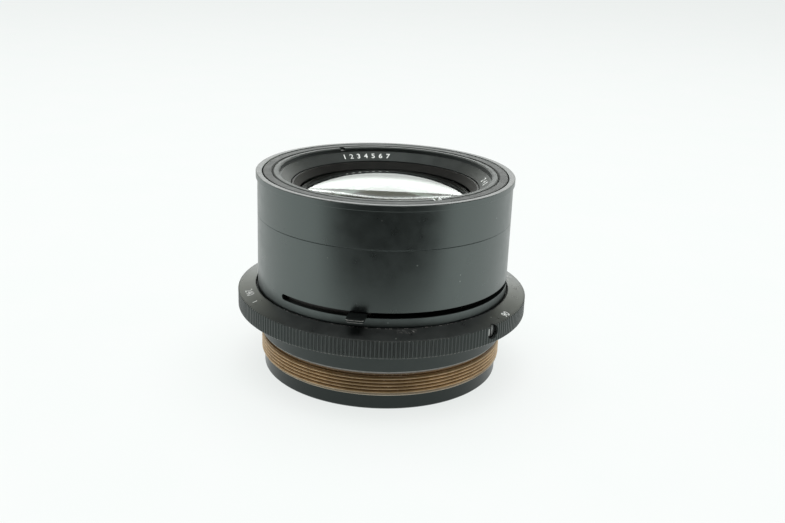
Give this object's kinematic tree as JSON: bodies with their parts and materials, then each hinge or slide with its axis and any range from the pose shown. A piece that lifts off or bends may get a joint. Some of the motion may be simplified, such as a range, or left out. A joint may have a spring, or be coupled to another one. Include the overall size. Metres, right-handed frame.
{
  "type": "enlarger lens",
  "caption": "Barrel-mount enlarging lens with a fluted aperture ring, multi-leaf iris, drop-in stop slot with sliding cover, and a fine mounting thread.",
  "frame": {"origin": "centre of the rear rim, on the optical axis", "axes": "+Z along the optical axis towards the front of the lens, -Y towards the side with the stop slot"},
  "size_m": [0.0858, 0.0858, 0.0591],
  "materials": {
    "satin_black": "black anodised, satin, with white filled engraving",
    "matt_black": "matt black anodised",
    "worn_bronze": "tarnished brown, crests worn bright",
    "coated_glass": "polished and coated",
    "blued_steel": "blackened spring steel",
    "blackened_brass": "chemically blackened",
    "screw_steel": "blackened, slot worn bright"
  },
  "bodies": {
    "barrel": {"front_cell_housing": "satin_black", "front_doublet_inner_glass": "coated_glass", "front_doublet_outer_glass": "coated_glass", "front_glass_retainer": "matt_black", "front_meniscus_glass": "coated_glass", "front_shell": "satin_black", "front_spacer": "matt_black", "guide_spacer": "matt_black", "iris_pivot_plate": "blackened_brass", "iris_retaining_ring": "matt_black", "main_barrel": "satin_black", "mount_thread_sleeve": "worn_bronze", "name_ring": "satin_black", "rear_cell_housing": "satin_black", "rear_doublet_inner_glass": "coated_glass", "rear_doublet_outer_glass": "coated_glass", "rear_meniscus_glass": "coated_glass", "rear_retaining_ring": "matt_black", "rear_shell": "satin_black", "rear_spacer": "matt_black", "stop_guide_channel": "matt_black", "stop_guide_plate": "matt_black"},
    "aperture_ring": {"aperture_ring": "satin_black", "aperture_drive_screw": "screw_steel", "iris_cam_ring": "blackened_brass"},
    "slot_cover": {"slot_cover_band": "blackened_brass", "slot_cover_tab": "blackened_brass"},
    "iris_blade_01": {"iris_blade_01": "blued_steel"},
    "iris_blade_02": {"iris_blade_02": "blued_steel"},
    "iris_blade_03": {"iris_blade_03": "blued_steel"},
    "iris_blade_04": {"iris_blade_04": "blued_steel"},
    "iris_blade_05": {"iris_blade_05": "blued_steel"},
    "iris_blade_06": {"iris_blade_06": "blued_steel"},
    "iris_blade_07": {"iris_blade_07": "blued_steel"},
    "iris_blade_08": {"iris_blade_08": "blued_steel"},
    "iris_blade_09": {"iris_blade_09": "blued_steel"},
    "iris_blade_10": {"iris_blade_10": "blued_steel"},
    "iris_blade_11": {"iris_blade_11": "blued_steel"},
    "iris_blade_12": {"iris_blade_12": "blued_steel"}
  },
  "joints": [
    {"name": "aperture_turn", "type": "hinge", "parent": "barrel", "child": "aperture_ring", "pos_m": [0, 0, 0.0219], "axis": [0, 0, 1], "range_deg": [0, 96]},
    {"name": "slot_cover_turn", "type": "hinge", "parent": "barrel", "child": "slot_cover", "pos_m": [0, 0, 0.0285], "axis": [0, 0, 1], "range_deg": [-33, 84]},
    {"name": "iris_blade_01_swing", "type": "hinge", "parent": "barrel", "child": "iris_blade_01", "pos_m": [0.00484, -0.0289, 0.0242], "axis": [0, 0, 1], "range_deg": [0, 36.4]},
    {"name": "iris_blade_02_swing", "type": "hinge", "parent": "barrel", "child": "iris_blade_02", "pos_m": [0.01864, -0.02261, 0.0242], "axis": [0, 0, 1], "range_deg": [0, 36.4]},
    {"name": "iris_blade_03_swing", "type": "hinge", "parent": "barrel", "child": "iris_blade_03", "pos_m": [0.02744, -0.01026, 0.0242], "axis": [0, 0, 1], "range_deg": [0, 36.4]},
    {"name": "iris_blade_04_swing", "type": "hinge", "parent": "barrel", "child": "iris_blade_04", "pos_m": [0.0289, 0.00484, 0.0242], "axis": [0, 0, 1], "range_deg": [0, 36.4]},
    {"name": "iris_blade_05_swing", "type": "hinge", "parent": "barrel", "child": "iris_blade_05", "pos_m": [0.02261, 0.01864, 0.0242], "axis": [0, 0, 1], "range_deg": [0, 36.4]},
    {"name": "iris_blade_06_swing", "type": "hinge", "parent": "barrel", "child": "iris_blade_06", "pos_m": [0.01026, 0.02744, 0.0242], "axis": [0, 0, 1], "range_deg": [0, 36.4]},
    {"name": "iris_blade_07_swing", "type": "hinge", "parent": "barrel", "child": "iris_blade_07", "pos_m": [-0.00484, 0.0289, 0.0242], "axis": [0, 0, 1], "range_deg": [0, 36.4]},
    {"name": "iris_blade_08_swing", "type": "hinge", "parent": "barrel", "child": "iris_blade_08", "pos_m": [-0.01864, 0.02261, 0.0242], "axis": [0, 0, 1], "range_deg": [0, 36.4]},
    {"name": "iris_blade_09_swing", "type": "hinge", "parent": "barrel", "child": "iris_blade_09", "pos_m": [-0.02744, 0.01026, 0.0242], "axis": [0, 0, 1], "range_deg": [0, 36.4]},
    {"name": "iris_blade_10_swing", "type": "hinge", "parent": "barrel", "child": "iris_blade_10", "pos_m": [-0.0289, -0.00484, 0.0242], "axis": [0, 0, 1], "range_deg": [0, 36.4]},
    {"name": "iris_blade_11_swing", "type": "hinge", "parent": "barrel", "child": "iris_blade_11", "pos_m": [-0.02261, -0.01864, 0.0242], "axis": [0, 0, 1], "range_deg": [0, 36.4]},
    {"name": "iris_blade_12_swing", "type": "hinge", "parent": "barrel", "child": "iris_blade_12", "pos_m": [-0.01026, -0.02744, 0.0242], "axis": [0, 0, 1], "range_deg": [0, 36.4]}
  ],
  "couplings": [
    {"joint": "iris_blade_01_swing", "follows": "aperture_turn", "ratio": 0.37906},
    {"joint": "iris_blade_02_swing", "follows": "aperture_turn", "ratio": 0.37906},
    {"joint": "iris_blade_03_swing", "follows": "aperture_turn", "ratio": 0.37906},
    {"joint": "iris_blade_04_swing", "follows": "aperture_turn", "ratio": 0.37906},
    {"joint": "iris_blade_05_swing", "follows": "aperture_turn", "ratio": 0.37906},
    {"joint": "iris_blade_06_swing", "follows": "aperture_turn", "ratio": 0.37906},
    {"joint": "iris_blade_07_swing", "follows": "aperture_turn", "ratio": 0.37906},
    {"joint": "iris_blade_08_swing", "follows": "aperture_turn", "ratio": 0.37906},
    {"joint": "iris_blade_09_swing", "follows": "aperture_turn", "ratio": 0.37906},
    {"joint": "iris_blade_10_swing", "follows": "aperture_turn", "ratio": 0.37906},
    {"joint": "iris_blade_11_swing", "follows": "aperture_turn", "ratio": 0.37906},
    {"joint": "iris_blade_12_swing", "follows": "aperture_turn", "ratio": 0.37906}
  ]
}
